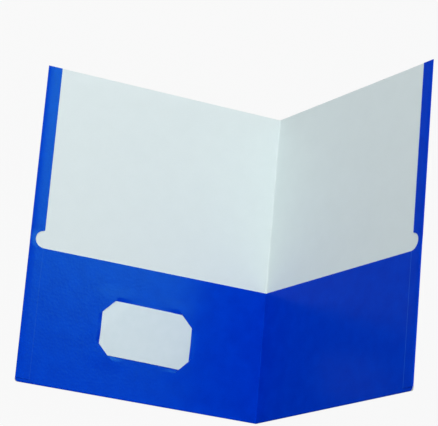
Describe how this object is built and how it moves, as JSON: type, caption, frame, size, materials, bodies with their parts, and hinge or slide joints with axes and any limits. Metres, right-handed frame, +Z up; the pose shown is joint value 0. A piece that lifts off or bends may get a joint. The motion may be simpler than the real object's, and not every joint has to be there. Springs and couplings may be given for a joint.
{
  "type": "two pocket folder",
  "caption": "Folded card-stock folder with a pocket along the foot of each cover, glued side hems and a blank card tucked in corner slits.",
  "frame": {"origin": "middle of the left cover's outside face, on the surface that the folder lies on", "axes": "+X from the left cover's outer edge to the spine, +Y from the pockets to the top edge, +Z up"},
  "size_m": [0.2654, 0.294, 0.237],
  "materials": {
    "folder_sheet": "coated card stock, blue outside with a soft sheen, plain white inside",
    "card_paper": "uncoated white card",
    "glue_film": "dried glue"
  },
  "bodies": {
    "left_half": {"left_cover": "folder_sheet", "left_hem": "folder_sheet", "left_hem_neck": "folder_sheet", "left_seam_flap": "folder_sheet", "left_bottom_fold": "folder_sheet", "left_pocket_margin": "folder_sheet", "left_hem_glue": "glue_film", "left_seam_glue": "glue_film", "spine_fold": "folder_sheet", "pocket_spine_fold": "folder_sheet", "spine_bottom_fold": "folder_sheet"},
    "right_half": {"right_cover": "folder_sheet", "right_hem": "folder_sheet", "right_hem_neck": "folder_sheet", "right_seam_flap": "folder_sheet", "right_bottom_fold": "folder_sheet", "right_pocket_margin": "folder_sheet", "right_hem_glue": "glue_film", "right_seam_glue": "glue_film"},
    "left_pocket_front": {"left_pocket": "folder_sheet", "card_corner_tabs": "folder_sheet"},
    "right_pocket_front": {"right_pocket": "folder_sheet"},
    "card": {"business_card": "card_paper"}
  },
  "joints": [
    {"name": "spine", "type": "hinge", "parent": "left_half", "child": "right_half", "pos_m": [0.1184, 0, 0.0018], "axis": [0, 1, 0], "range_deg": [-96.5, 83.4], "deforming": ["spine_fold", "pocket_spine_fold", "spine_bottom_fold"]},
    {"name": "left_pocket_gape", "type": "hinge", "parent": "left_half", "child": "left_pocket_front", "pos_m": [0, -0.1464, 0.0006], "axis": [1, 0, 0], "range_deg": [0, 6], "stiffness_Nm_per_rad": 0.05, "deforming": ["left_pocket", "card_corner_tabs", "business_card"]},
    {"name": "right_pocket_gape", "type": "hinge", "parent": "right_half", "child": "right_pocket_front", "pos_m": [0.11959, -0.1464, 0.00166], "axis": [0.1132, 0, 0.9936], "range_deg": [0, 6], "stiffness_Nm_per_rad": 0.05, "deforming": ["right_pocket"]},
    {"name": "card_slide", "type": "slide", "parent": "left_pocket_front", "child": "card", "axis": [0, 1, 0], "range_m": [0, 0.265]}
  ]
}
